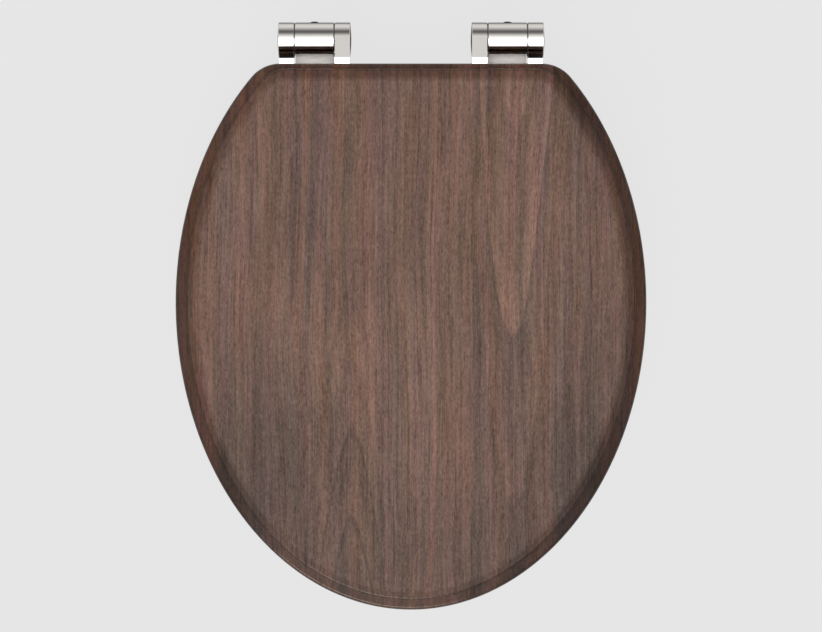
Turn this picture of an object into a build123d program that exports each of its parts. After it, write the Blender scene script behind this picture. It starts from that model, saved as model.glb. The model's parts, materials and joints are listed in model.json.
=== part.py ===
from build123d import *
import os
from math import cos, radians, sin, tan

# Toilet seat: a wooden lid and a wooden ring on two soft-closing barrel hinges.
# Millimetres, +X to the right and +Y to the rear seen from above, +Z up. The origin lies on the rim of
# the pan, midway between the two fixing studs. The lid and the ring are modelled closed.

# Lid: an oval cut straight at the rear, with a raised field inside a stepped rim
LID_WIDTH = 375.0
LID_LENGTH = 435.0
LID_THICKNESS = 18.0
REAR_CUT = 54.0  # how much the straight rear edge cuts from the length of the whole oval
OVAL_HALF_LENGTH = (LID_LENGTH + REAR_CUT) / 2
REAR_CORNER_RADIUS = 30.0
LID_SETBACK = 20.5  # from the hinge axis to the rear edge
RIM_WIDTH = 8.4
REAR_RIM_WIDTH = 4.4
RIM_SLOPE = 22.0  # degrees, falling towards the edge of the lid
RIM_EDGE_RADIUS = 4.0
FIELD_CORNER_RADIUS = 25.0
RISER_HEIGHT = 2.2  # step from the rim up to the field's bevel
RISER_RADIUS = 2.6
BEVEL_WIDTH = 8.0
BEVEL_FALL = 2.0
BEVEL_RADIUS = 18.0  # between the bevel and the flat of the field
LID_UNDER_RADIUS = 4.0

# Ring
RING_INSET = 2.0  # the lid overhangs the ring by this much
RING_THICKNESS = 18.0
RING_TOP_RADIUS = 7.0
RING_UNDER_RADIUS = 3.0
OPENING_WIDTH = 216.0
OPENING_LENGTH = 275.0
REAR_RAIL = 85.0  # from the ring's rear edge to the opening

# Buffers: pads with a stem pushed into the wood
SEAT_BUFFER_HEIGHT = 12.0
SEAT_BUFFER_LENGTH = 36.0
SEAT_BUFFER_WIDTH = 15.0
LID_BUFFER_HEIGHT = 5.0
LID_BUFFER_RADIUS = 10.0
BUFFER_EDGE_RADIUS = 1.5
BUFFER_STEM_RADIUS = 3.0
BUFFER_STEM_LENGTH = 8.0
BUFFER_ANGLES = (40.0, 130.0)  # round the ring from the front, on both sides

# Hinge barrels
FIXING_SPACING = 155.0
AXIS_HEIGHT = 17.7
BARREL_RADIUS = 14.0
POST_WIDTH = 31.0
KNUCKLE_WIDTH = 12.4
KNUCKLE_GAP = 0.8
DOME_HEIGHT = 0.9  # crown of the barrel's outer ends
EDGE_BREAK = 0.3  # chamfer on the side edges of posts and arms and on the foot plates

# Post: the fixed knuckle, with a flat front, on a satin foot plate and a rubber gasket
POST_FRONT = 10.9  # from the hinge axis to the flat front
POST_LEAN = 6.0  # degrees, the front falling back towards the foot
POST_REAR = 12.0
FOOT_FRONT = 30.0  # from the hinge axis to the front of the foot plate
FOOT_THICKNESS = 2.0
FOOT_CORNER_RADIUS = 6.0
GASKET_THICKNESS = 1.5
GASKET_HOLE_RADIUS = 5.6

# Arms: knuckles with a leaf screwed under the lid or the ring
LEAF_THICKNESS = 4.0
LEAF_OVERLAP = 49.0  # how far a leaf reaches in front of the lid's rear edge
RAMP_FRONT = 15.1  # from the hinge axis to the top of the lid arm's slope
RAMP_ROOT = 5.2  # depth of the slope's root on the leaf
SOCKET_DEPTH = 9.3

# Damper cartridge, plain pin and thrust washers on the hinge axis
DAMPER_RADIUS = 9.0
DAMPER_LENGTH = 23.8
DAMPER_RECESS = 0.2  # the cartridge's face below the post's face
DAMPER_WALL = 1.8
DAMPER_END = 2.5
PLUG_THICKNESS = 5.0
SEAL_RADIUS = 6.0
SEAL_THICKNESS = 1.5
SHAFT_RADIUS = 4.0
SHAFT_FLAT = 3.0  # from the shaft's axis to its flats
SHAFT_REACH = 9.0  # of shaft and pin into the arms, past the knuckle gap
VANE_THICKNESS = 2.5
VANE_ANGLE = 225.0  # of the vane with the seat closed, from +Y towards +Z
STATOR_ANGLE = 270.0
PIN_CHAMFER = 0.6
WASHER_THICKNESS = 0.6
WASHER_INSET = 0.6  # of the washer below the barrel's surface
WASHER_HOLE_RADIUS = 5.0

# Grub screw that holds the damper, at the rear of the post
GRUB_RADIUS = 3.6
GRUB_DOME = 1.0  # crown of its outer end above the barrel
GRUB_SEAT = 0.5  # depth of its tip in the damper
GRUB_KEY = 1.8  # corner radius of its hexagon socket
GRUB_KEY_DEPTH = 2.5

# Wood screws, three to each arm
SCREW_COUNT = 3
SCREW_LENGTH = 15.0
SCREW_RADIUS = 1.9
SCREW_HEAD_RADIUS = 3.8
SCREW_HEAD_ANGLE = 90.0
SCREW_TIP = 3.0
SCREW_EDGE_DISTANCE = 8.5  # of the end screws from the leaf's end and from the wood's rear edge
CROSS_SPAN = 4.0
CROSS_WIDTH = 0.9
CROSS_DEPTH = 1.6

# Fixing through the pan: stud, rubber washer and wing nut
PAN_THICKNESS = 25.0
STUD_RADIUS = 4.0
THREAD_RADIUS = 3.4
STUD_ENGAGEMENT = 6.4  # through the foot plate and into the post
STUD_TAIL = 27.0  # of thread below the pan
STUD_CHAMFER = 1.0
PAN_WASHER_RADIUS = 12.0
PAN_WASHER_THICKNESS = 4.0
NUT_HEIGHT = 14.0
NUT_TOP_RADIUS = 9.0
NUT_FOOT_RADIUS = 6.5
NUT_FLANGE = 3.0
WING_REACH = 17.0
WING_HEIGHT = 9.0
WING_THICKNESS = 4.0
WING_CORNER_RADIUS = 3.0

# Clearances
RUNNING_FIT = 0.05  # radial, where something turns or is pushed in
END_FIT = 0.2  # along an axis
PICK = 0.01  # how near an edge has to lie to be picked by its height

# Heights of the stack on the pan
ring_bottom = SEAT_BUFFER_HEIGHT
ring_top = ring_bottom + RING_THICKNESS
lid_bottom = ring_top + LID_BUFFER_HEIGHT
lid_top = lid_bottom + LID_THICKNESS
foot_bottom = GASKET_THICKNESS
foot_top = foot_bottom + FOOT_THICKNESS
lid_leaf_bottom = lid_bottom - LEAF_THICKNESS
seat_leaf_bottom = ring_bottom - LEAF_THICKNESS

# Places along Y
lid_rear = -LID_SETBACK
ring_rear = lid_rear - RING_INSET
leaf_front = lid_rear - LEAF_OVERLAP
oval_centre = lid_rear - LID_LENGTH + OVAL_HALF_LENGTH
opening_centre = ring_rear - REAR_RAIL - OPENING_LENGTH / 2

# Places along X, from each hinge's centre
post_face = POST_WIDTH / 2
knuckle_face = post_face + KNUCKLE_GAP
knuckle_end = knuckle_face + KNUCKLE_WIDTH
knuckle_middle = (knuckle_face + knuckle_end) / 2
shaft_end = knuckle_face + SHAFT_REACH
damper_face = post_face - DAMPER_RECESS
damper_foot = damper_face - DAMPER_LENGTH
cavity_foot = damper_foot + DAMPER_END
plug_foot = damper_face - PLUG_THICKNESS
cavity_radius = DAMPER_RADIUS - DAMPER_WALL

# Each hinge by its centre and by the direction along X from there to the lid arm
HINGES = {
    "left": (-FIXING_SPACING / 2, 1),
    "right": (FIXING_SPACING / 2, -1),
}
hinge_axis = Axis((0, 0, AXIS_HEIGHT), (1, 0, 0))

# Screws lie in rows along the leaves, buffers on an oval midway across the ring
screw_first = ring_rear - SCREW_EDGE_DISTANCE
screw_last = leaf_front + SCREW_EDGE_DISTANCE
screw_pitch = (screw_first - screw_last) / (SCREW_COUNT - 1)
screw_rows = [screw_first - screw_pitch * row for row in range(SCREW_COUNT)]
lid_screws = []
seat_screws = []
pan_holes = []
for centre, inward in HINGES.values():
    lid_screws += [(centre + inward * knuckle_middle, y) for y in screw_rows]
    seat_screws += [(centre - inward * knuckle_middle, y) for y in screw_rows]
    pan_holes.append((centre, 0))

buffer_half_width = (LID_WIDTH / 2 - RING_INSET + OPENING_WIDTH / 2) / 2
buffer_centre = (oval_centre + opening_centre) / 2
buffer_half_length = (OVAL_HALF_LENGTH - RING_INSET + OPENING_LENGTH / 2) / 2
buffers = []
for angle in BUFFER_ANGLES:
    for side in (-1, 1):
        x = side * buffer_half_width * sin(radians(angle))
        y = buffer_centre - buffer_half_length * cos(radians(angle))
        buffers.append((x, y, side * angle))
stems = [(x, y) for x, y, angle in buffers]

# Holes with their clearance, and other sizes that follow from those above
screw_hole = SCREW_RADIUS + RUNNING_FIT
screw_hole_depth = SCREW_LENGTH - LEAF_THICKNESS + END_FIT
screw_sink = SCREW_HEAD_RADIUS + RUNNING_FIT
stem_hole = BUFFER_STEM_RADIUS + RUNNING_FIT
stem_hole_depth = BUFFER_STEM_LENGTH + END_FIT
shaft_hole = SHAFT_RADIUS + RUNNING_FIT
thread_hole = THREAD_RADIUS + RUNNING_FIT
grub_hole = GRUB_RADIUS + RUNNING_FIT
slope_width = RIM_WIDTH + RISER_HEIGHT
slope_fall = slope_width * tan(radians(RIM_SLOPE))
rim_top = lid_top - BEVEL_FALL - RISER_HEIGHT + RISER_HEIGHT * tan(radians(RIM_SLOPE))
field_foot = lid_bottom + LID_UNDER_RADIUS
leaf_end_radius = 0.45 * KNUCKLE_WIDTH
stator_tip = SHAFT_RADIUS + END_FIT
stator_root = cavity_radius + DAMPER_WALL / 2


def seat_oval(height, inset, rear_inset, corner_radius):
    """The outline of the lid, or one inset from it, as a sketch at the given height."""
    with BuildSketch(Plane.XY.offset(height)) as outline:
        with Locations((0, oval_centre)):
            Ellipse(LID_WIDTH / 2 - inset, OVAL_HALF_LENGTH - inset)
        with Locations((0, lid_rear - rear_inset)):
            Rectangle(2 * LID_WIDTH, 2 * LID_LENGTH, align=(Align.CENTER, Align.MAX), mode=Mode.INTERSECT)
        fillet(outline.vertices().group_by(Axis.Y)[-1], corner_radius)
    return outline.sketch


def holes(height, places, radius):
    """Round holes at the given places, as a sketch at the given height."""
    with BuildSketch(Plane.XY.offset(height)) as pattern:
        with Locations(*places):
            Circle(radius)
    return pattern.sketch


def edges_at(builder, height):
    """The edges of a part that lie level at the given height."""
    return builder.edges().filter_by_position(Axis.Z, height - PICK, height + PICK)


def barrel_section(x, radius):
    """A disc round the hinge axis, as a sketch across it at x."""
    with BuildSketch(Plane.YZ.offset(x)) as section:
        with Locations((0, AXIS_HEIGHT)):
            Circle(radius)
    return section.sketch


def flatted_section(x, radius, flat):
    """A disc round the hinge axis with two flats, as a sketch across the axis at x."""
    with BuildSketch(Plane.YZ.offset(x)) as section:
        with Locations((0, AXIS_HEIGHT)):
            Circle(radius)
            Rectangle(2 * radius, 2 * flat, mode=Mode.INTERSECT)
    return section.sketch


def blade_section(x, angle, inner, outer):
    """A radial blade of the damper, as a sketch across the hinge axis at x."""
    with BuildSketch(Plane.YZ.offset(x)) as section:
        with Locations((0, AXIS_HEIGHT)):
            with PolarLocations((inner + outer) / 2, 1, start_angle=angle):
                Rectangle(outer - inner, VANE_THICKNESS)
    return section.sketch


def knuckle_dome(x, outward):
    """The shallow crown on a barrel's end, as a profile to turn about the hinge axis."""
    with BuildSketch(Plane.XZ) as profile:
        with BuildLine():
            crown = (x + outward * DOME_HEIGHT, AXIS_HEIGHT)
            rim = (x, AXIS_HEIGHT + BARREL_RADIUS - EDGE_BREAK)
            TangentArc(crown, rim, tangent=(0, 1))
            Line(rim, (x, AXIS_HEIGHT))
            Line((x, AXIS_HEIGHT), crown)
        make_face()
    return profile.sketch


def arm_socket(x, driven):
    """The socket for the damper's flatted shaft or for the plain pin, as a sketch at the knuckle's face."""
    if driven:
        return flatted_section(x, shaft_hole, SHAFT_FLAT + RUNNING_FIT)
    return barrel_section(x, shaft_hole)


def leaf_screws(x, height):
    """Places of the screws in a leaf whose underside is at this height, each facing down."""
    return [Location((x, y, height), (180, 0, 0)) for y in screw_rows]


def foot_outline(centre, height):
    """The foot plate's outline, rounded at the front, as a sketch at the given height."""
    with BuildSketch(Plane.XY.offset(height)) as outline:
        with Locations((centre, POST_REAR)):
            Rectangle(POST_WIDTH, FOOT_FRONT + POST_REAR, align=(Align.CENTER, Align.MAX))
        fillet(outline.vertices().group_by(Axis.Y)[0], FOOT_CORNER_RADIUS)
    return outline.sketch


os.makedirs("parts", exist_ok=True)

# Lid: a slab with a sloping rim, and on it the field with its bevel
with BuildPart() as lid:
    extrude(seat_oval(lid_bottom, 0, 0, REAR_CORNER_RADIUS), amount=rim_top - lid_bottom)
    slab_top = lid.faces().sort_by(Axis.Z)[-1]
    chamfer(slab_top.edges(), slope_width, slope_fall, reference=slab_top)
    fillet(edges_at(lid, rim_top - slope_fall), RIM_EDGE_RADIUS)
    fillet(lid.faces().sort_by(Axis.Z)[0].edges(), LID_UNDER_RADIUS)
    field_outline = seat_oval(field_foot, RIM_WIDTH, REAR_RIM_WIDTH, FIELD_CORNER_RADIUS)
    extrude(field_outline, amount=lid_top - field_foot)
    field = lid.faces().sort_by(Axis.Z)[-1]
    chamfer(field.edges(), BEVEL_WIDTH, BEVEL_FALL, reference=field)
    fillet(edges_at(lid, lid_top - BEVEL_FALL), RISER_RADIUS)
    fillet(lid.faces().sort_by(Axis.Z)[-1].edges(), BEVEL_RADIUS)
    extrude(holes(lid_bottom, lid_screws, screw_hole), amount=screw_hole_depth, mode=Mode.SUBTRACT)
    extrude(holes(lid_bottom, stems, stem_hole), amount=stem_hole_depth, mode=Mode.SUBTRACT)
lid.part.label = "lid"
export_step(lid.part, "parts/lid.step")

# Ring
with BuildPart() as seat_ring:
    ring_corner_radius = REAR_CORNER_RADIUS - RING_INSET
    extrude(seat_oval(ring_bottom, RING_INSET, RING_INSET, ring_corner_radius), amount=RING_THICKNESS)
    with BuildSketch(Plane.XY.offset(ring_bottom)):
        with Locations((0, opening_centre)):
            Ellipse(OPENING_WIDTH / 2, OPENING_LENGTH / 2)
    extrude(amount=RING_THICKNESS, mode=Mode.SUBTRACT)
    fillet(seat_ring.faces().sort_by(Axis.Z)[-1].edges(), RING_TOP_RADIUS)
    fillet(seat_ring.faces().sort_by(Axis.Z)[0].edges(), RING_UNDER_RADIUS)
    extrude(holes(ring_bottom, seat_screws, screw_hole), amount=screw_hole_depth, mode=Mode.SUBTRACT)
    extrude(holes(ring_bottom, stems, stem_hole), amount=stem_hole_depth, mode=Mode.SUBTRACT)
seat_ring.part.label = "seat_ring"
export_step(seat_ring.part, "parts/seat_ring.step")

# Round buffers under the lid
with BuildPart() as lid_buffer:
    with BuildSketch(Plane.XY.offset(ring_top)):
        Circle(LID_BUFFER_RADIUS)
    extrude(amount=LID_BUFFER_HEIGHT)
    fillet(lid_buffer.edges().sort_by(Axis.Z)[0], BUFFER_EDGE_RADIUS)
    extrude(holes(lid_bottom, [(0, 0)], BUFFER_STEM_RADIUS), amount=BUFFER_STEM_LENGTH)

with BuildPart() as lid_buffers:
    with Locations(*stems):
        add(lid_buffer.part)
lid_buffers.part.label = "lid_buffers"
export_step(lid_buffers.part, "parts/lid_buffers.step")

# Long buffers under the ring, laid along it
with BuildPart() as seat_buffer:
    with BuildSketch():
        SlotOverall(SEAT_BUFFER_LENGTH, SEAT_BUFFER_WIDTH)
    extrude(amount=SEAT_BUFFER_HEIGHT)
    fillet(seat_buffer.faces().sort_by(Axis.Z)[0].edges(), BUFFER_EDGE_RADIUS)
    extrude(holes(ring_bottom, [(0, 0)], BUFFER_STEM_RADIUS), amount=BUFFER_STEM_LENGTH)

with BuildPart() as seat_buffers:
    with Locations(*[Location((x, y, 0), (0, 0, angle)) for x, y, angle in buffers]):
        add(seat_buffer.part)
seat_buffers.part.label = "seat_buffers"
export_step(seat_buffers.part, "parts/seat_buffers.step")

# The knuckles and the works of each hinge
for hand, (centre, inward) in HINGES.items():
    # Post: fixed middle knuckle with a flat front
    with BuildPart() as post:
        with BuildSketch(Plane.YZ.offset(centre - post_face)):
            with Locations((0, AXIS_HEIGHT)):
                Circle(BARREL_RADIUS)
            with Locations((POST_REAR, AXIS_HEIGHT)):
                Rectangle(POST_FRONT + POST_REAR, AXIS_HEIGHT - foot_top, align=(Align.MAX, Align.MAX))
            reach = 4 * BARREL_RADIUS
            with Locations((0, foot_top)):
                Rectangle(reach, reach, align=(Align.CENTER, Align.MIN), mode=Mode.INTERSECT)
            with Locations(Location((-POST_FRONT, AXIS_HEIGHT), POST_LEAN)):
                Rectangle(reach, reach, align=(Align.MIN, Align.CENTER), mode=Mode.INTERSECT)
        extrude(amount=POST_WIDTH)
        chamfer(post.faces().filter_by(Axis.X).edges(), EDGE_BREAK)
        damper_bore = barrel_section(centre + damper_foot, DAMPER_RADIUS + RUNNING_FIT)
        extrude(damper_bore, amount=POST_WIDTH, mode=Mode.SUBTRACT)
        extrude(barrel_section(centre - post_face, shaft_hole), amount=POST_WIDTH, mode=Mode.SUBTRACT)
        with BuildSketch(Plane.XZ):
            with Locations((centre, AXIS_HEIGHT)):
                Circle(grub_hole)
        extrude(amount=-2 * BARREL_RADIUS, mode=Mode.SUBTRACT)
        stud_hole = holes(foot_bottom, [(centre, 0)], thread_hole)
        extrude(stud_hole, amount=STUD_ENGAGEMENT + END_FIT, mode=Mode.SUBTRACT)
    post.part.label = f"hinge_post_{hand}"
    export_step(post.part, f"parts/hinge_post_{hand}.step")

    # Foot plate, clamped under the post by the stud
    with BuildPart() as foot_plate:
        extrude(foot_outline(centre, foot_bottom), amount=FOOT_THICKNESS)
        chamfer(foot_plate.faces().sort_by(Axis.Z)[-1].edges(), EDGE_BREAK)
        plate_hole = holes(foot_bottom, [(centre, 0)], thread_hole)
        extrude(plate_hole, amount=FOOT_THICKNESS, mode=Mode.SUBTRACT)
    foot_plate.part.label = f"foot_plate_{hand}"
    export_step(foot_plate.part, f"parts/foot_plate_{hand}.step")

    # Rubber gasket under the foot plate
    with BuildPart() as gasket:
        extrude(foot_outline(centre, 0), amount=GASKET_THICKNESS)
        extrude(holes(0, [(centre, 0)], GASKET_HOLE_RADIUS), amount=GASKET_THICKNESS, mode=Mode.SUBTRACT)
    gasket.part.label = f"foot_gasket_{hand}"
    export_step(gasket.part, f"parts/foot_gasket_{hand}.step")

    # Lid arm: the barrel and the leaf's root in one sloping form, and the leaf under the lid
    near = centre + inward * knuckle_face
    far = centre + inward * knuckle_end
    with BuildPart() as lid_arm:
        with BuildSketch(Plane.YZ.offset(near)):
            with Locations((0, AXIS_HEIGHT)):
                Circle(BARREL_RADIUS)
            with Locations((-RAMP_FRONT, lid_bottom)):
                Rectangle(RAMP_ROOT, LEAF_THICKNESS, align=(Align.MAX, Align.MAX))
            make_hull()
            with Locations((leaf_front, lid_bottom)):
                Rectangle(-RAMP_FRONT - leaf_front, LEAF_THICKNESS, align=(Align.MIN, Align.MAX))
        extrude(amount=inward * KNUCKLE_WIDTH)
        fillet(lid_arm.edges().filter_by(Axis.Z).group_by(Axis.Y)[0], leaf_end_radius)
        chamfer(lid_arm.faces().filter_by(Axis.X).edges(), EDGE_BREAK)
        revolve(knuckle_dome(far, inward), axis=hinge_axis)
        extrude(arm_socket(near, driven=inward > 0), amount=inward * SOCKET_DEPTH, mode=Mode.SUBTRACT)
        with Locations(*leaf_screws(centre + inward * knuckle_middle, lid_leaf_bottom)):
            CounterSinkHole(screw_hole, screw_sink, LEAF_THICKNESS, SCREW_HEAD_ANGLE)
    lid_arm.part.label = f"lid_arm_{hand}"
    export_step(lid_arm.part, f"parts/lid_arm_{hand}.step")

    # Seat arm: the barrel with a low leaf under the ring
    near = centre - inward * knuckle_face
    far = centre - inward * knuckle_end
    with BuildPart() as seat_arm:
        with BuildSketch(Plane.YZ.offset(near)):
            with Locations((0, AXIS_HEIGHT)):
                Circle(BARREL_RADIUS)
            with Locations((leaf_front, ring_bottom)):
                Rectangle(-leaf_front - SHAFT_RADIUS, LEAF_THICKNESS, align=(Align.MIN, Align.MAX))
        extrude(amount=-inward * KNUCKLE_WIDTH)
        fillet(seat_arm.edges().filter_by(Axis.Z).group_by(Axis.Y)[0], leaf_end_radius)
        chamfer(seat_arm.faces().filter_by(Axis.X).edges(), EDGE_BREAK)
        revolve(knuckle_dome(far, -inward), axis=hinge_axis)
        extrude(arm_socket(near, driven=inward < 0), amount=-inward * SOCKET_DEPTH, mode=Mode.SUBTRACT)
        with Locations(*leaf_screws(centre - inward * knuckle_middle, seat_leaf_bottom)):
            CounterSinkHole(screw_hole, screw_sink, LEAF_THICKNESS, SCREW_HEAD_ANGLE)
    seat_arm.part.label = f"seat_arm_{hand}"
    export_step(seat_arm.part, f"parts/seat_arm_{hand}.step")

    # Damper housing: a cup with one fixed blade inside
    with BuildPart() as housing:
        extrude(barrel_section(centre + damper_foot, DAMPER_RADIUS), amount=DAMPER_LENGTH)
        cavity = barrel_section(centre + cavity_foot, cavity_radius)
        extrude(cavity, amount=DAMPER_LENGTH, mode=Mode.SUBTRACT)
        stator = blade_section(centre + damper_foot, STATOR_ANGLE, stator_tip, stator_root)
        extrude(stator, amount=plug_foot - damper_foot)
        with BuildSketch(Plane.XZ.offset(GRUB_SEAT - DAMPER_RADIUS)):
            with Locations((centre, AXIS_HEIGHT)):
                Circle(grub_hole)
        extrude(amount=-DAMPER_RADIUS, mode=Mode.SUBTRACT)
    housing.part.label = f"damper_housing_{hand}"
    export_step(housing.part, f"parts/damper_housing_{hand}.step")

    # Damper rotor: a shaft with one vane, flatted where it drives the arm
    with BuildPart() as rotor:
        rotor_foot = cavity_foot + END_FIT
        extrude(barrel_section(centre + rotor_foot, SHAFT_RADIUS), amount=post_face - rotor_foot)
        extrude(flatted_section(centre + post_face, SHAFT_RADIUS, SHAFT_FLAT), amount=shaft_end - post_face)
        vane = blade_section(centre + rotor_foot, VANE_ANGLE, 0, cavity_radius - END_FIT)
        extrude(vane, amount=plug_foot - END_FIT - rotor_foot)
    rotor.part.label = f"damper_rotor_{hand}"
    export_step(rotor.part, f"parts/damper_rotor_{hand}.step")

    # Damper plug, with a pocket for the seal at its inner face
    with BuildPart() as plug:
        extrude(barrel_section(centre + plug_foot, cavity_radius - RUNNING_FIT), amount=PLUG_THICKNESS)
        extrude(barrel_section(centre + plug_foot, shaft_hole), amount=PLUG_THICKNESS, mode=Mode.SUBTRACT)
        extrude(barrel_section(centre + plug_foot, SEAL_RADIUS), amount=SEAL_THICKNESS, mode=Mode.SUBTRACT)
    plug.part.label = f"damper_plug_{hand}"
    export_step(plug.part, f"parts/damper_plug_{hand}.step")

    # Shaft seal
    with BuildPart() as seal:
        extrude(barrel_section(centre + plug_foot, SEAL_RADIUS - RUNNING_FIT), amount=SEAL_THICKNESS)
        extrude(barrel_section(centre + plug_foot, shaft_hole), amount=SEAL_THICKNESS, mode=Mode.SUBTRACT)
    seal.part.label = f"damper_seal_{hand}"
    export_step(seal.part, f"parts/damper_seal_{hand}.step")

    # Plain pivot pin, fixed in the post
    with BuildPart() as pin:
        pin_foot = damper_foot - END_FIT
        extrude(barrel_section(centre + pin_foot, SHAFT_RADIUS), amount=-shaft_end - pin_foot)
        chamfer(pin.edges(), PIN_CHAMFER)
    pin.part.label = f"pivot_pin_{hand}"
    export_step(pin.part, f"parts/pivot_pin_{hand}.step")

    # Thrust washers on both faces of the post
    with BuildPart() as washers:
        for side in (-1, 1):
            face = centre + side * post_face
            washer_depth = side * WASHER_THICKNESS
            extrude(barrel_section(face, BARREL_RADIUS - WASHER_INSET), amount=washer_depth)
            extrude(barrel_section(face, WASHER_HOLE_RADIUS), amount=washer_depth, mode=Mode.SUBTRACT)
    washers.part.label = f"thrust_washers_{hand}"
    export_step(washers.part, f"parts/thrust_washers_{hand}.step")

# Grub screws at the rear of the posts, each with a domed end
with BuildPart() as grub_screws:
    for centre, inward in HINGES.values():
        tip = DAMPER_RADIUS - GRUB_SEAT + END_FIT
        crown = BARREL_RADIUS + GRUB_DOME
        with BuildSketch(Plane.XY.offset(AXIS_HEIGHT)):
            with BuildLine():
                rim = (centre + GRUB_RADIUS, BARREL_RADIUS)
                Polyline((centre, crown), (centre, tip), (centre + GRUB_RADIUS, tip), rim)
                TangentArc((centre, crown), rim, tangent=(1, 0))
            make_face()
        revolve(axis=Axis((centre, 0, AXIS_HEIGHT), (0, 1, 0)))
        with BuildSketch(Plane.XZ.offset(-crown)):
            with Locations((centre, AXIS_HEIGHT)):
                RegularPolygon(GRUB_KEY, 6)
        extrude(amount=GRUB_KEY_DEPTH, mode=Mode.SUBTRACT)
grub_screws.part.label = "grub_screws"
export_step(grub_screws.part, "parts/grub_screws.step")

# Countersunk wood screw, head down at the origin
with BuildPart() as wood_screw:
    with BuildSketch(Plane.XZ):
        with BuildLine():
            head = (SCREW_HEAD_RADIUS - SCREW_RADIUS) / tan(radians(SCREW_HEAD_ANGLE / 2))
            Polyline((0, 0), (SCREW_HEAD_RADIUS, 0), (SCREW_RADIUS, head),
                     (SCREW_RADIUS, SCREW_LENGTH - SCREW_TIP), (0, SCREW_LENGTH), close=True)
        make_face()
    revolve(axis=Axis.Z)
    with BuildSketch():
        Rectangle(CROSS_SPAN, CROSS_WIDTH)
        Rectangle(CROSS_WIDTH, CROSS_SPAN)
    extrude(amount=CROSS_DEPTH, mode=Mode.SUBTRACT)

with BuildPart() as lid_arm_screws:
    with Locations(*[(x, y, lid_leaf_bottom) for x, y in lid_screws]):
        add(wood_screw.part)
lid_arm_screws.part.label = "lid_arm_screws"
export_step(lid_arm_screws.part, "parts/lid_arm_screws.step")

with BuildPart() as seat_arm_screws:
    with Locations(*[(x, y, seat_leaf_bottom) for x, y in seat_screws]):
        add(wood_screw.part)
seat_arm_screws.part.label = "seat_arm_screws"
export_step(seat_arm_screws.part, "parts/seat_arm_screws.step")

# Fixing studs: threaded into the posts, plain through the pan, threaded below it
with BuildPart() as fixing_studs:
    extrude(holes(foot_bottom, pan_holes, THREAD_RADIUS), amount=STUD_ENGAGEMENT)
    extrude(holes(-PAN_THICKNESS, pan_holes, STUD_RADIUS), amount=PAN_THICKNESS + foot_bottom)
    extrude(holes(-PAN_THICKNESS, pan_holes, THREAD_RADIUS), amount=-STUD_TAIL)
    chamfer(fixing_studs.edges().group_by(Axis.Z)[0], STUD_CHAMFER)
fixing_studs.part.label = "fixing_studs"
export_step(fixing_studs.part, "parts/fixing_studs.step")

# Rubber washers under the pan
with BuildPart() as pan_washers:
    extrude(holes(-PAN_THICKNESS, pan_holes, PAN_WASHER_RADIUS), amount=-PAN_WASHER_THICKNESS)
    extrude(holes(-PAN_THICKNESS, pan_holes, thread_hole), amount=-PAN_WASHER_THICKNESS, mode=Mode.SUBTRACT)
pan_washers.part.label = "pan_washers"
export_step(pan_washers.part, "parts/pan_washers.step")

# Wing nut, flange up at the origin
with BuildPart() as wing_nut:
    with BuildSketch(Plane.XZ):
        with BuildLine():
            Polyline((0, 0), (NUT_TOP_RADIUS, 0), (NUT_TOP_RADIUS, -NUT_FLANGE),
                     (NUT_FOOT_RADIUS, -NUT_FLANGE), (NUT_FOOT_RADIUS, -NUT_HEIGHT),
                     (0, -NUT_HEIGHT), close=True)
        make_face()
    revolve(axis=Axis.Z)
    with BuildSketch(Plane.XZ.offset(-WING_THICKNESS / 2)) as wings:
        with Locations((0, -NUT_HEIGHT)):
            Rectangle(2 * WING_REACH, WING_HEIGHT, align=(Align.CENTER, Align.MIN))
        fillet(wings.vertices(), WING_CORNER_RADIUS)
    extrude(amount=WING_THICKNESS)
    extrude(holes(0, [(0, 0)], thread_hole), amount=-NUT_HEIGHT, mode=Mode.SUBTRACT)

with BuildPart() as wing_nuts:
    with Locations(*[(x, y, -PAN_THICKNESS - PAN_WASHER_THICKNESS) for x, y in pan_holes]):
        add(wing_nut.part)
wing_nuts.part.label = "wing_nuts"
export_step(wing_nuts.part, "parts/wing_nuts.step")
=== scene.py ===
"""The looks of a wooden toilet seat on chromed hinges: finishes, stud threads, studio and camera."""
import json
import math

import bmesh
import bpy
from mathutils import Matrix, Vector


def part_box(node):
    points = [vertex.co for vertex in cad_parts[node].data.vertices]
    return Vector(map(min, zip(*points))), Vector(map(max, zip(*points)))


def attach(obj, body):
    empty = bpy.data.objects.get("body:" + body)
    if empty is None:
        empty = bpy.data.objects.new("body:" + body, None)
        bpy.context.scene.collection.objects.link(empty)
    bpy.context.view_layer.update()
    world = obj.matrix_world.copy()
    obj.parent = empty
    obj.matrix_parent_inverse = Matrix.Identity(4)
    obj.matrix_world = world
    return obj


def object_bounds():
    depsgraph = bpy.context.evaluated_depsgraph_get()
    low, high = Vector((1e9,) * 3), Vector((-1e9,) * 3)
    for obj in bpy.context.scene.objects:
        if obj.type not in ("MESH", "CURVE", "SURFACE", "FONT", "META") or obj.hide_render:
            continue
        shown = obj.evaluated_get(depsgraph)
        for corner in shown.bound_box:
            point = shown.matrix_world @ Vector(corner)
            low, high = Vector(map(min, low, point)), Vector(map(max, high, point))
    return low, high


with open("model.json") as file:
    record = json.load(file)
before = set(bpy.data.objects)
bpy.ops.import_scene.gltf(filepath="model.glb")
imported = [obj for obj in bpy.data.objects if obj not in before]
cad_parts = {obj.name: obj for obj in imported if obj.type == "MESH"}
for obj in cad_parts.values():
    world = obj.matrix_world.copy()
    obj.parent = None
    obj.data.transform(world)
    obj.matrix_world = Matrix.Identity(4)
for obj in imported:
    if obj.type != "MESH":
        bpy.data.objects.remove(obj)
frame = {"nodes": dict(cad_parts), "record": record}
cad_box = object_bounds()

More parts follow.
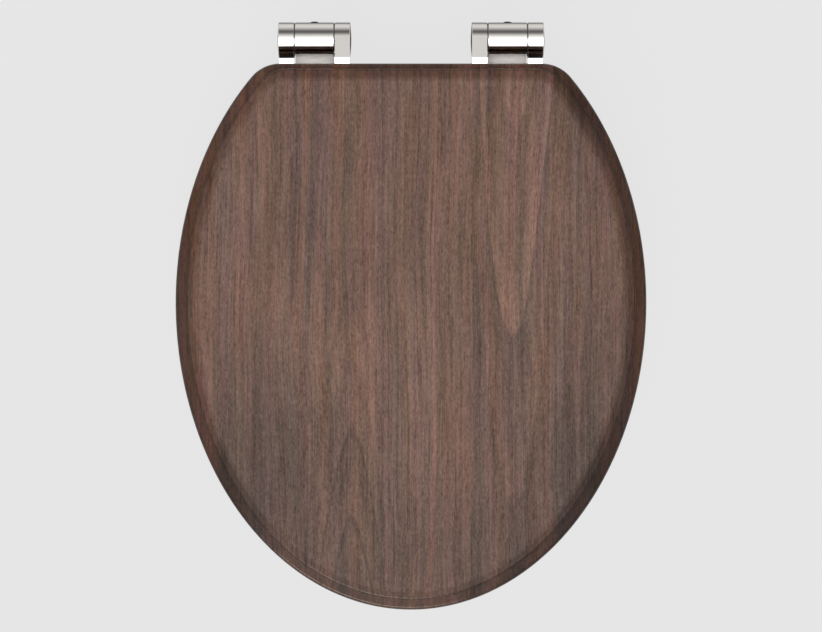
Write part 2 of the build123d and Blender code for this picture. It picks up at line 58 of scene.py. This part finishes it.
# The picture: seen from straight above through a long lens, in metres
IMAGE_WIDTH = 822  # in pixels
IMAGE_CENTRE_Y = -0.2216
CAMERA_HEIGHT = 3.05
CAMERA_REACH = 200.0
PIXEL_SIZE = 0.0007965  # on the lid's edge
LID_EDGE_HEIGHT = 0.0425
SENSOR_WIDTH = 36.0  # in millimetres

# Pale surroundings, in metres
BACKGROUND = (0.788, 0.788, 0.788, 1.0)
FLOOR_SIZE = 80.0
FLOOR_GAP = 0.0005
SHADOW_SHARE = 0.06  # of the floor's brightness that the lights and shadows make up

# Studio dome: strengths, and angles in degrees
FILL_LIGHT = 0.13
HORIZON_LIGHT = 0.66
HORIZON_BAND = (54.0, 91.0)  # off the zenith, where the fill turns into the pale horizon
SOFT_BOXES = (
    # strength, then to the sides, front and rear: full up to the first angle, none past the second
    (2.4, (10.0, 26.0), (14.0, 36.0), (0.0, 14.0)),
    (1.1, (14.0, 44.0), (20.0, 50.0), (4.0, 52.0)),
    (1.1, (34.0, 58.0), (44.0, 62.0), (-32.0, -12.0)),
)
SOFT_BOX_SHIFT = 2.0  # to the left
WINDOW_LIGHT = 10.0
WINDOW_AZIMUTH = -16.0  # from the front towards the right
WINDOW_ELEVATION = 22.0
WINDOW_WIDTH = (12.0, 38.0)  # full up to the first angle off its middle, none past the second
WINDOW_HEIGHT = (3.0, 12.0)
LEAST_HEIGHT = 0.001  # of a direction, for its angles off the zenith

# Finishes, with lengths in millimetres of the part's frame
MILLIMETRES = 1000.0  # in a metre
NOISE_MIDDLE = 0.5
NOISE_REACH = (0.3, 0.7)  # holds most of a noise
MARK_BUMP = 0.4  # strength
MOULDED_CLOUDS = 6.0
MOULDED_GRAIN_DEPTH = 0.00004  # in metres
MOULDED_GLOSS_SPREAD = 0.06  # of the roughness to both sides

# Walnut: the boards and the run of the grain
BOARD_SPLIT = 32.5  # height between the ring and the lid
RING_SHIFT = (55.0, 120.0, 200.0)  # of the ring's figure against the lid's
SWAY = 12.0  # of the grain to the sides
SWAY_SIZE = (140.0, 300.0, 140.0)
WOBBLE = 6.0  # of the arches along the grain
WOBBLE_SIZE = (6.0, 40.0, 20.0)

# Walnut: tones, from 0 for dark to 1 for pale
CLOUD_TONE = 0.25  # of the clouds, to both sides of the middle
CLOUD_SIZE = (50.0, 95.0, 50.0)
FIGURE_LENGTH = 600.0
FIGURES = (
    # middle along X, bend and power of the arches, tones by how far the arch's tip lies from the hinges
    (84.0, -0.24, 2.0, (
        (0, 0.54), (66, 0.60), (75, 0.38), (100, 0.48), (182, 0.51), (196, 0.66), (234, 0.72),
        (240, 0.22), (262, 0.32), (325, 0.48), (362, 0.62), (371, 0.34), (430, 0.46), (600, 0.50),
    )),
    (-49.0, 0.65, 1.6, (
        (0, 0.50), (195, 0.50), (203, 0.36), (224, 0.48), (252, 0.54), (260, 0.36), (282, 0.50),
        (306, 0.58), (312, 0.20), (322, 0.54), (336, 0.42), (350, 0.60), (375, 0.64), (382, 0.10),
        (392, 0.60), (412, 0.42), (436, 0.52), (600, 0.50),
    )),
)
PATCHES = (
    # middle along X and Y, half width and half length at half strength, tone
    (-121.0, -102.0, 9.0, 60.0, 0.14),
    (-98.0, -232.0, 10.0, 60.0, 0.12),
    (-35.0, -276.0, 14.0, 50.0, 0.20),
    (4.0, -264.0, 10.0, 80.0, 0.12),
    (-70.0, -236.0, 18.0, 36.0, 0.16),
    (108.0, -150.0, 14.0, 90.0, 0.18),
    (-50.0, -162.0, 8.0, 60.0, -0.28),
    (-72.0, -130.0, 18.0, 80.0, -0.22),
    (12.0, -145.0, 8.0, 55.0, -0.14),
    (46.0, -208.0, 12.0, 50.0, -0.12),
    (38.0, -256.0, 16.0, 36.0, -0.20),
    (-110.0, -304.0, 18.0, 50.0, -0.22),
    (-134.0, -345.0, 32.0, 80.0, -0.38),
    (146.0, -345.0, 32.0, 80.0, -0.46),
    (135.0, -56.0, 30.0, 40.0, -0.20),
    (150.0, -150.0, 16.0, 80.0, -0.12),
    (0.0, -440.0, 240.0, 90.0, -0.32),
)
PATCH_REACH = 2.0  # in half widths and half lengths, where a patch has faded out
BANDS = ((24.0, 420.0, 0.57), (10.0, 240.0, 0.68))  # width, length along the grain, weight
BAND_DEPTH = 3.0  # in widths
BROWNS = (
    # tone, colour
    (0.0, (0.0322, 0.0190, 0.0148)),
    (0.5, (0.0920, 0.0474, 0.0342)),
    (1.0, (0.178, 0.0910, 0.0635)),
)

# Walnut: tints
BAND_WARMTH = 2.2  # how much the pale bands turn red and the dark ones grey
WARM_BAND = (1.05, 0.98, 0.98, 1.0)
COOL_BAND = (0.95, 1.02, 1.02, 1.0)
HUES = (
    # width, length along the grain, the two tints between which the wood varies
    (9.0, 180.0, (1.050, 0.980, 0.976, 1.0), (0.950, 1.020, 1.024, 1.0)),
    (13.0, 240.0, (1.0, 1.0, 0.88, 1.0), (1.0, 1.0, 1.12, 1.0)),
)
HUE_DEPTH = 4.0  # in widths
HUE_REACH = (0.35, 0.65)  # of the noise between the two tints

# Walnut: fibres and lacquer
STREAKS = (
    # width, length along the grain, weight
    (4.6, 200.0, 0.44),
    (4.6, 30.0, 0.24),
    (2.0, 110.0, 0.54),
    (2.0, 12.0, 0.40),
    (0.9, 60.0, 0.56),
    (0.9, 6.0, 0.62),
    (1.0, 2.8, 0.74),
    (2.4, 3.4, 0.26),
)
STREAK_DEPTH = 6.0  # in widths
VEIN_SIZE = (1.7, 230.0, 12.0)
VEIN_REACH = (0.27, 0.36)  # of the noise between a vein and the wood beside it
VEIN_TONE = 0.76  # against the wood beside it
FIBRE_REACH = (0.7, 1.3)  # holds most of the fibres' brightness
FIBRE_DEPTH = 0.00003  # in metres
FIBRE_BUMP = 0.5  # strength
SLOPE_SHADE = ((0.0, 1.0), (0.1, 0.96), (0.232, 0.86), (0.375, 0.725), (0.6, 0.55), (1.0, 0.45))  # painted shade by slope: the wood darkens as its surface tilts from level
LACQUER_TINT = (0.80, 0.60, 0.52, 1.0)
LACQUER_GLOSS = 0.46
LACQUER_ROUGHNESS = (0.33, 0.27)  # on dark and on pale fibres

# Stud threads, in metres
THREAD_PITCH = 0.00125
THREAD_CORE = 0.00335
THREAD_CREST = 0.0039
THREAD_FLANK = 0.42  # of the pitch, from the crest to the foot on each side
THREAD_RUNOUT = 0.02  # of the height, left at the ends of the ridge
THREAD_STEPS = 36  # to a turn


class Graph:
    """Short ways to add nodes to a material's or the world's tree."""

    def __init__(self, tree):
        self.tree = tree
        tree.nodes.clear()

    def node(self, kind, **settings):
        made = self.tree.nodes.new(kind)
        for name, value in settings.items():
            setattr(made, name, value)
        return made

    def put(self, socket, value):
        """Links a socket to another node's output, or sets it to a plain value."""
        if isinstance(value, bpy.types.NodeSocket):
            self.tree.links.new(value, socket)
        elif value is not None:
            socket.default_value = value

    def math(self, operation, first, second=None, third=None):
        made = self.node("ShaderNodeMath", operation=operation)
        for socket, value in zip(made.inputs, (first, second, third)):
            self.put(socket, value)
        return made.outputs[0]

    def vector(self, operation, first, second):
        made = self.node("ShaderNodeVectorMath", operation=operation)
        self.put(made.inputs[0], first)
        self.put(made.inputs["Scale"] if operation == "SCALE" else made.inputs[1], second)
        return made.outputs["Vector"]

    def length(self, vector):
        made = self.node("ShaderNodeVectorMath", operation="LENGTH")
        self.put(made.inputs[0], vector)
        return made.outputs["Value"]

    def split(self, vector):
        made = self.node("ShaderNodeSeparateXYZ")
        self.put(made.inputs[0], vector)
        return made.outputs

    def join(self, x, y, z):
        made = self.node("ShaderNodeCombineXYZ")
        for socket, value in zip(made.inputs, (x, y, z)):
            self.put(socket, value)
        return made.outputs[0]

    def grey(self, value):
        return self.join(value, value, value)

    def noise(self, vector, size, detail=2.0):
        """Soft noise from 0 to 1 whose patches have the given size along each axis."""
        made = self.node("ShaderNodeTexNoise")
        shrunk = self.vector("MULTIPLY", vector, tuple(1 / length for length in size))
        self.put(made.inputs["Vector"], shrunk)
        made.inputs["Scale"].default_value = 1.0
        made.inputs["Detail"].default_value = detail
        return made.outputs["Fac"]

    def swing(self, noise, amount):
        """A noise stretched to go from minus to plus the given amount."""
        return self.math("MULTIPLY_ADD", noise, 2 * amount, -amount)

    def span(self, value, start, end, low=0.0, high=1.0):
        """A smooth step from low to high as the value goes from start to end."""
        made = self.node("ShaderNodeMapRange", interpolation_type="SMOOTHSTEP")
        parts = {"Value": value, "From Min": start, "From Max": end, "To Min": low, "To Max": high}
        for name, part in parts.items():
            self.put(made.inputs[name], part)
        return made.outputs[0]

    def ramp(self, value, stops):
        """A colour by value, from stops of place and colour."""
        made = self.node("ShaderNodeValToRGB")
        elements = made.color_ramp.elements
        elements[0].position = stops[0][0]
        elements[1].position = stops[-1][0]
        for place, _ in stops[1:-1]:
            elements.new(place)
        for element, (_, colour) in zip(elements, stops):
            element.color = (*colour, 1.0)
        self.put(made.inputs[0], value)
        return made.outputs[0]

    def grey_ramp(self, value, stops):
        """A grey level by value, from stops of place and level."""
        return self.ramp(value, [(place, (level, level, level)) for place, level in stops])

    def mix(self, share, first, second, blend="MIX"):
        made = self.node("ShaderNodeMix", data_type="RGBA", blend_type=blend)
        self.put(made.inputs["Factor"], share)
        for name, value in (("A", first), ("B", second)):
            socket = next(s for s in made.inputs if s.name == name and s.type == "RGBA")
            self.put(socket, value)
        return next(s for s in made.outputs if s.type == "RGBA")

    def tint(self, colour, factor):
        return self.mix(1.0, colour, factor, "MULTIPLY")

    def bump(self, height, distance, strength):
        made = self.node("ShaderNodeBump")
        made.inputs["Strength"].default_value = strength
        made.inputs["Distance"].default_value = distance
        self.put(made.inputs["Height"], height)
        return made.outputs["Normal"]


def new_material(name):
    """A material with its tree's helper, surface inputs, place in millimetres of the frame and normal."""
    material = bpy.data.materials.new(name)
    material.use_nodes = True
    graph = Graph(material.node_tree)
    shader = graph.node("ShaderNodeBsdfPrincipled")
    output = graph.node("ShaderNodeOutputMaterial")
    graph.put(output.inputs["Surface"], shader.outputs[0])
    coordinates = graph.node("ShaderNodeTexCoord").outputs
    place = graph.vector("SCALE", coordinates["Object"], MILLIMETRES)
    return material, graph, shader.inputs, place, coordinates["Normal"]


def walnut_colour(graph, place, swayed):
    """The wood's brown: clouds, arched figures, patches and bands as tones, then its tints."""
    x, y = graph.split(swayed)[:2]
    tone = graph.math("ADD", graph.swing(graph.noise(place, CLOUD_SIZE), CLOUD_TONE), NOISE_MIDDLE)
    reach = graph.math("SUBTRACT", graph.swing(graph.noise(place, WOBBLE_SIZE), WOBBLE), y)
    for middle, bend, power, stops in FIGURES:
        aside = graph.math("ABSOLUTE", graph.math("SUBTRACT", x, middle))
        tip = graph.math("MULTIPLY_ADD", graph.math("POWER", aside, power), -bend, reach)
        share = graph.math("DIVIDE", tip, FIGURE_LENGTH)
        figure = graph.grey_ramp(share, [(distance / FIGURE_LENGTH, level) for distance, level in stops])
        tone = graph.math("ADD", tone, graph.math("SUBTRACT", figure, NOISE_MIDDLE))
    for middle_x, middle_y, half_width, half_length, level in PATCHES:
        offset = graph.vector("SUBTRACT", swayed, (middle_x, middle_y, 0.0))
        away = graph.length(graph.vector("MULTIPLY", offset, (1 / half_width, 1 / half_length, 0.0)))
        tone = graph.math("ADD", tone, graph.span(away, 0.0, PATCH_REACH, level, 0.0))
    warmth = NOISE_MIDDLE
    for width, length, weight in BANDS:
        band = graph.noise(swayed, (width, length, BAND_DEPTH * width))
        band = graph.math("SUBTRACT", band, NOISE_MIDDLE)
        tone = graph.math("MULTIPLY_ADD", band, weight, tone)
        warmth = graph.math("MULTIPLY_ADD", band, BAND_WARMTH, warmth)
    brown = graph.tint(graph.ramp(tone, BROWNS), graph.mix(warmth, COOL_BAND, WARM_BAND))
    for width, length, first, second in HUES:
        hue = graph.noise(swayed, (width, length, HUE_DEPTH * width))
        brown = graph.tint(brown, graph.mix(graph.span(hue, *HUE_REACH), first, second))
    return brown


def walnut_fibre(graph, swayed):
    """The brightness of the wood's fibres, about 1, with streaks and dark veins along the grain."""
    fibre = 1.0
    for width, length, weight in STREAKS:
        streak = graph.noise(swayed, (width, length, STREAK_DEPTH * width), detail=1.0)
        streak = graph.math("SUBTRACT", streak, NOISE_MIDDLE)
        fibre = graph.math("MULTIPLY_ADD", streak, weight, fibre)
    veins = graph.span(graph.noise(swayed, VEIN_SIZE), *VEIN_REACH, VEIN_TONE, 1.0)
    return graph.math("MULTIPLY", fibre, veins)


def walnut():
    """Dark walnut with its grain along Y under a satin lacquer, with painted shade on slopes not facing the
    rear.
    """
    material, graph, surface, place, normal = new_material("walnut")
    on_ring = graph.math("LESS_THAN", graph.split(place)[2], BOARD_SPLIT)
    place = graph.vector("ADD", place, graph.vector("SCALE", RING_SHIFT, on_ring))
    sway = graph.swing(graph.noise(place, SWAY_SIZE), SWAY)
    swayed = graph.vector("ADD", place, graph.join(sway, 0.0, 0.0))
    brown = walnut_colour(graph, place, swayed)
    fibre = walnut_fibre(graph, swayed)

    # painted shade: the wood's colour darkens with the tilt of its surface, less where it faces the rear
    slope = graph.length(graph.vector("MULTIPLY", normal, (1.0, 1.0, 0.0)))
    facing = graph.split(normal)
    rearward = graph.math("MAXIMUM", graph.math("MULTIPLY", facing[1], facing[2]), 0.0)
    painted_shade = graph.grey_ramp(graph.math("SUBTRACT", slope, rearward), SLOPE_SHADE)
    graph.put(surface["Base Color"], graph.tint(graph.tint(brown, graph.grey(fibre)), painted_shade))
    graph.put(surface["Specular Tint"], graph.tint(LACQUER_TINT, graph.grey(fibre)))
    graph.put(surface["Roughness"], graph.span(fibre, *FIBRE_REACH, *LACQUER_ROUGHNESS))
    graph.put(surface["Normal"], graph.bump(fibre, FIBRE_DEPTH, FIBRE_BUMP))
    surface["Specular IOR Level"].default_value = LACQUER_GLOSS
    return material


def clouded(name, dark, pale, roughness, clouds, cloud_detail=3.0, marks=None, mark_detail=2.0,
            mark_depth=0.0, metallic=0.0, grazing_tint=None):
    """A finish of two close shades in clouds, with marks that vary its roughness and stand out a little."""
    material, graph, surface, place, _ = new_material(name)
    cloud = graph.noise(place, (clouds, clouds, clouds), cloud_detail)
    graph.put(surface["Base Color"], graph.mix(cloud, (*dark, 1.0), (*pale, 1.0)))
    surface["Metallic"].default_value = metallic
    rough = cloud
    if marks is not None:
        rough = graph.noise(place, marks, mark_detail)
        graph.put(surface["Normal"], graph.bump(rough, mark_depth, MARK_BUMP))
    graph.put(surface["Roughness"], graph.span(rough, *NOISE_REACH, *roughness))
    if grazing_tint is not None:
        surface["Specular Tint"].default_value = grazing_tint
    return material


def moulded(name, dark, pale, roughness, grain):
    """A matt moulded rubber or plastic with a fine grain of the given size."""
    gloss = (roughness - MOULDED_GLOSS_SPREAD, roughness + MOULDED_GLOSS_SPREAD)
    return clouded(name, dark, pale, gloss, MOULDED_CLOUDS,
                   marks=(grain, grain, grain), mark_depth=MOULDED_GRAIN_DEPTH)


FINISHES = {
    "walnut": walnut(),
    # polished, with a faint haze and dark grazing reflections
    "chrome": clouded(
        "chrome", (0.845, 0.81, 0.775), (0.895, 0.86, 0.825), (0.05, 0.09),
        clouds=9.0, cloud_detail=4.0, metallic=1.0, grazing_tint=(0.02, 0.02, 0.02, 1.0)),
    # brushed from side to side
    "satin_steel": clouded(
        "satin_steel", (0.54, 0.515, 0.49), (0.61, 0.585, 0.555), (0.38, 0.50),
        clouds=7.0, marks=(14.0, 0.16, 0.16), mark_detail=3.0, mark_depth=0.00002, metallic=1.0),
    # zinc-plated, with fine turning marks
    "steel": clouded(
        "steel", (0.52, 0.52, 0.54), (0.66, 0.65, 0.63), (0.24, 0.38),
        clouds=5.0, marks=(3.0, 3.0, 0.12), mark_depth=0.00003, metallic=1.0),
    "black_steel": clouded(
        "black_steel", (0.018, 0.018, 0.020), (0.040, 0.039, 0.040), (0.30, 0.45),
        clouds=1.2, metallic=0.5),
    "rubber": moulded("rubber", (0.030, 0.030, 0.031), (0.050, 0.049, 0.048), 0.70, 0.5),
    "pale_rubber": moulded("pale_rubber", (0.56, 0.54, 0.50), (0.64, 0.62, 0.58), 0.50, 0.8),
    "black_plastic": moulded("black_plastic", (0.028, 0.028, 0.030), (0.045, 0.045, 0.047), 0.45, 0.4),
    "white_plastic": moulded("white_plastic", (0.70, 0.70, 0.68), (0.78, 0.78, 0.76), 0.42, 0.6),
}


def finish_nodes():
    """Gives each node of the model the finish that the record names for it."""
    for row in frame["record"]["subparts"]:
        mesh = frame["nodes"][row["node"]].data
        mesh.materials.clear()
        mesh.materials.append(FINISHES[row["material_slot"]])


def thread_ridge(centre, top, bottom):
    """A helical ridge round a stud from top to bottom, thinned out at both ends, as vertices and faces."""
    turns = (top - bottom) / THREAD_PITCH
    count = int(turns * THREAD_STEPS)
    flank = THREAD_FLANK * THREAD_PITCH
    points = []
    for step in range(count + 1):
        share = step / count
        angle = 2 * math.pi * turns * share
        height = top - (top - bottom) * share
        swell = min(1.0, step / THREAD_STEPS, (count - step) / THREAD_STEPS)
        crest = THREAD_CORE + (THREAD_CREST - THREAD_CORE) * max(swell, THREAD_RUNOUT)
        for radius, rise in ((THREAD_CORE, flank), (crest, 0.0), (THREAD_CORE, -flank)):
            points.append((centre + radius * math.cos(angle), radius * math.sin(angle), height + rise))
    corners = 3  # of the ridge's section
    faces = []
    for step in range(count):
        here, there = corners * step, corners * (step + 1)
        for side in range(corners):
            other = (side + 1) % corners
            faces.append((here + side, here + other, there + other, there + side))
    last = corners * count
    faces.append((2, 1, 0))
    faces.append((last, last + 1, last + 2))
    return points, faces


def stud_threads():
    """Threads on the free ends of the fixing studs, below the wing nuts."""
    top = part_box("wing_nuts")[0].z - THREAD_PITCH / 2
    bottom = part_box("fixing_studs")[0].z + THREAD_PITCH
    spacing = frame["record"]["mounts"][0]["dims"]["spacing_x_mm"] / MILLIMETRES
    for name, centre in (("left", -spacing / 2), ("right", spacing / 2)):
        points, faces = thread_ridge(centre, top, bottom)
        mesh = bpy.data.meshes.new(f"stud_thread_{name}")
        mesh.from_pydata(points, [], faces)
        turned = bmesh.new()
        turned.from_mesh(mesh)
        bmesh.ops.recalc_face_normals(turned, faces=turned.faces)
        turned.to_mesh(mesh)
        turned.free()
        mesh.materials.append(FINISHES["steel"])
        piece = bpy.data.objects.new(f"stud_thread_{name}", mesh)
        bpy.context.scene.collection.objects.link(piece)
        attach(piece, "base")


def studio_dome():
    """Light by direction: soft boxes overhead, a window to the front, dark sides and a pale horizon."""
    world = bpy.data.worlds.new("studio")
    bpy.context.scene.world = world
    world.use_nodes = True
    graph = Graph(world.node_tree)
    x, y, z = graph.split(graph.node("ShaderNodeTexCoord").outputs["Generated"])
    forward = graph.math("MULTIPLY", y, -1.0)
    height = graph.math("MAXIMUM", z, LEAST_HEIGHT)

    def fade(angle, full, none):
        return graph.span(angle, math.radians(full), math.radians(none), 1.0, 0.0)

    def off(angle, middle):
        return graph.math("ABSOLUTE", graph.math("SUBTRACT", angle, math.radians(middle)))

    side = off(graph.math("ARCTAN2", x, height), -SOFT_BOX_SHIFT)
    front = graph.math("ARCTAN2", forward, height)
    rear = graph.math("ARCTAN2", y, height)
    overhead = fade(graph.math("ARCCOSINE", z), *HORIZON_BAND)
    light = graph.math("MULTIPLY_ADD", overhead, FILL_LIGHT - HORIZON_LIGHT, HORIZON_LIGHT)
    for strength, side_reach, front_reach, rear_reach in SOFT_BOXES:
        box = graph.math("MULTIPLY", fade(side, *side_reach), fade(front, *front_reach))
        box = graph.math("MULTIPLY", box, fade(rear, *rear_reach))
        light = graph.math("MULTIPLY_ADD", box, strength, light)
    beside = off(graph.math("ARCTAN2", x, forward), WINDOW_AZIMUTH)
    above = off(graph.math("ARCSINE", z), WINDOW_ELEVATION)
    pane = graph.math("MULTIPLY", fade(beside, *WINDOW_WIDTH), fade(above, *WINDOW_HEIGHT))
    light = graph.math("MULTIPLY_ADD", pane, WINDOW_LIGHT, light)
    background = graph.node("ShaderNodeBackground")
    graph.put(background.inputs["Color"], graph.grey(light))
    output = graph.node("ShaderNodeOutputWorld")
    graph.put(output.inputs["Surface"], background.outputs[0])


def pale_floor():
    """A plain floor under the object, pale to the eye and in reflections, with a faint shadow."""
    level = cad_box[0].z - FLOOR_GAP
    half = FLOOR_SIZE / 2
    mesh = bpy.data.meshes.new("floor")
    corners = [(-half, -half, level), (half, -half, level), (half, half, level), (-half, half, level)]
    mesh.from_pydata(corners, [], [(0, 1, 2, 3)])
    floor = bpy.data.objects.new("floor", mesh)
    bpy.context.scene.collection.objects.link(floor)
    material = bpy.data.materials.new("floor")
    material.use_nodes = True
    graph = Graph(material.node_tree)
    matt = graph.node("ShaderNodeBsdfDiffuse")
    matt.inputs["Color"].default_value = BACKGROUND
    glow = graph.node("ShaderNodeEmission")
    glow.inputs["Color"].default_value = BACKGROUND
    path = graph.node("ShaderNodeLightPath").outputs
    seen = graph.math("MAXIMUM", path["Is Camera Ray"], path["Is Glossy Ray"])
    seen = graph.math("MAXIMUM", seen, path["Is Transmission Ray"])
    blend = graph.node("ShaderNodeMixShader")
    graph.put(blend.inputs[0], graph.math("MULTIPLY", seen, 1.0 - SHADOW_SHARE))
    graph.put(blend.inputs[1], matt.outputs[0])
    graph.put(blend.inputs[2], glow.outputs[0])
    output = graph.node("ShaderNodeOutputMaterial")
    graph.put(output.inputs["Surface"], blend.outputs[0])
    mesh.materials.append(material)


def camera_above():
    """The camera of the picture, looking straight down with the hinges at the top."""
    data = bpy.data.cameras.new("camera")
    data.sensor_width = SENSOR_WIDTH
    distance = CAMERA_HEIGHT - LID_EDGE_HEIGHT
    data.lens = SENSOR_WIDTH * distance / (IMAGE_WIDTH * PIXEL_SIZE)
    data.clip_end = CAMERA_REACH
    camera = bpy.data.objects.new("camera", data)
    camera.location = (0.0, IMAGE_CENTRE_Y, CAMERA_HEIGHT)
    bpy.context.scene.collection.objects.link(camera)
    bpy.context.scene.camera = camera


bpy.context.scene.view_settings.view_transform = "Standard"
finish_nodes()
stud_threads()
studio_dome()
pale_floor()
camera_above()
